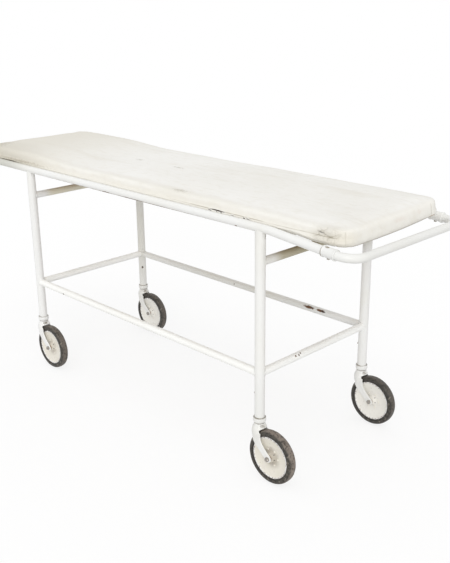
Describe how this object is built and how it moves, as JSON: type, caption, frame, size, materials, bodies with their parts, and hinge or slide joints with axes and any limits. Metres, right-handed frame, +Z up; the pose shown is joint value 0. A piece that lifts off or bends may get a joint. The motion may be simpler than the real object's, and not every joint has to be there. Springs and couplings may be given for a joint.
{
  "type": "mortuary body trolley",
  "caption": "Tubular steel body trolley with an upholstered flat top, a push handle at each end and swivel casters with large solid-tyred wheels.",
  "frame": {"origin": "on the floor, midway between the two handle bars and between the two side rails", "axes": "+X along the trolley towards the drooping foot end, +Y to the far side, +Z up"},
  "size_m": [1.9354, 0.585, 0.8511],
  "materials": {
    "enamel": "aged white enamel, slightly yellowed, chipped at joints",
    "disc_paint": "dull cream paint, dirty towards the hub",
    "plain_steel": "dull zinc-plated steel",
    "bronze": "oiled bronze",
    "tyre": "scuffed dark grey rubber, brown dust on the tread",
    "leathercloth": "off-white leathercloth, creased and stained at the edges",
    "foam": "old yellowed foam",
    "plywood": "bare plywood"
  },
  "bodies": {
    "frame": {"side_rail_near": "enamel", "side_rail_far": "enamel", "leg_head_near": "enamel", "leg_head_far": "enamel", "leg_foot_near": "enamel", "leg_foot_far": "enamel", "lower_side_rail_near": "enamel", "lower_side_rail_far": "enamel", "lower_cross_rail_head": "enamel", "lower_cross_rail_foot": "enamel", "upper_cross_rail_head": "enamel", "upper_cross_rail_foot": "enamel", "push_handle_foot": "enamel", "push_handle_head": "enamel", "handle_sleeves": "enamel", "set_screws": "plain_steel", "deck_bars": "enamel", "deck_board": "plywood", "deck_screws": "plain_steel", "pad_foam": "foam", "pad_cover": "leathercloth", "cover_tacks": "plain_steel", "caster_collars": "enamel", "caster_sockets": "plain_steel"},
    "caster_head_near": {"fork_head_near": "enamel", "king_pin_head_near": "plain_steel", "swivel_balls_head_near": "plain_steel", "axle_bolt_head_near": "plain_steel", "axle_nut_head_near": "plain_steel"},
    "wheel_head_near": {"hub_bush_head_near": "bronze", "wheel_disc_head_near": "disc_paint", "hub_rivets_head_near": "plain_steel", "tyre_head_near": "tyre"},
    "caster_head_far": {"fork_head_far": "enamel", "king_pin_head_far": "plain_steel", "swivel_balls_head_far": "plain_steel", "axle_bolt_head_far": "plain_steel", "axle_nut_head_far": "plain_steel"},
    "wheel_head_far": {"hub_bush_head_far": "bronze", "wheel_disc_head_far": "disc_paint", "hub_rivets_head_far": "plain_steel", "tyre_head_far": "tyre"},
    "caster_foot_near": {"fork_foot_near": "enamel", "king_pin_foot_near": "plain_steel", "swivel_balls_foot_near": "plain_steel", "axle_bolt_foot_near": "plain_steel", "axle_nut_foot_near": "plain_steel"},
    "wheel_foot_near": {"hub_bush_foot_near": "bronze", "wheel_disc_foot_near": "disc_paint", "hub_rivets_foot_near": "plain_steel", "tyre_foot_near": "tyre"},
    "caster_foot_far": {"fork_foot_far": "enamel", "king_pin_foot_far": "plain_steel", "swivel_balls_foot_far": "plain_steel", "axle_bolt_foot_far": "plain_steel", "axle_nut_foot_far": "plain_steel"},
    "wheel_foot_far": {"hub_bush_foot_far": "bronze", "wheel_disc_foot_far": "disc_paint", "hub_rivets_foot_far": "plain_steel", "tyre_foot_far": "tyre"}
  },
  "joints": [
    {"name": "swivel_head_near", "type": "hinge", "parent": "frame", "child": "caster_head_near", "pos_m": [-0.571, -0.261, 0.188], "axis": [0, 0, 1], "continuous": true},
    {"name": "wheel_spin_head_near", "type": "hinge", "parent": "caster_head_near", "child": "wheel_head_near", "pos_m": [-0.517, -0.261, 0.0875], "axis": [0, 1, 0], "continuous": true},
    {"name": "swivel_head_far", "type": "hinge", "parent": "frame", "child": "caster_head_far", "pos_m": [-0.571, 0.261, 0.188], "axis": [0, 0, 1], "continuous": true},
    {"name": "wheel_spin_head_far", "type": "hinge", "parent": "caster_head_far", "child": "wheel_head_far", "pos_m": [-0.517, 0.261, 0.0875], "axis": [0, 1, 0], "continuous": true},
    {"name": "swivel_foot_near", "type": "hinge", "parent": "frame", "child": "caster_foot_near", "pos_m": [0.629, -0.261, 0.188], "axis": [0, 0, 1], "continuous": true},
    {"name": "wheel_spin_foot_near", "type": "hinge", "parent": "caster_foot_near", "child": "wheel_foot_near", "pos_m": [0.683, -0.261, 0.0875], "axis": [0, 1, 0], "continuous": true},
    {"name": "swivel_foot_far", "type": "hinge", "parent": "frame", "child": "caster_foot_far", "pos_m": [0.629, 0.261, 0.188], "axis": [0, 0, 1], "continuous": true},
    {"name": "wheel_spin_foot_far", "type": "hinge", "parent": "caster_foot_far", "child": "wheel_foot_far", "pos_m": [0.683, 0.261, 0.0875], "axis": [0, 1, 0], "continuous": true}
  ]
}
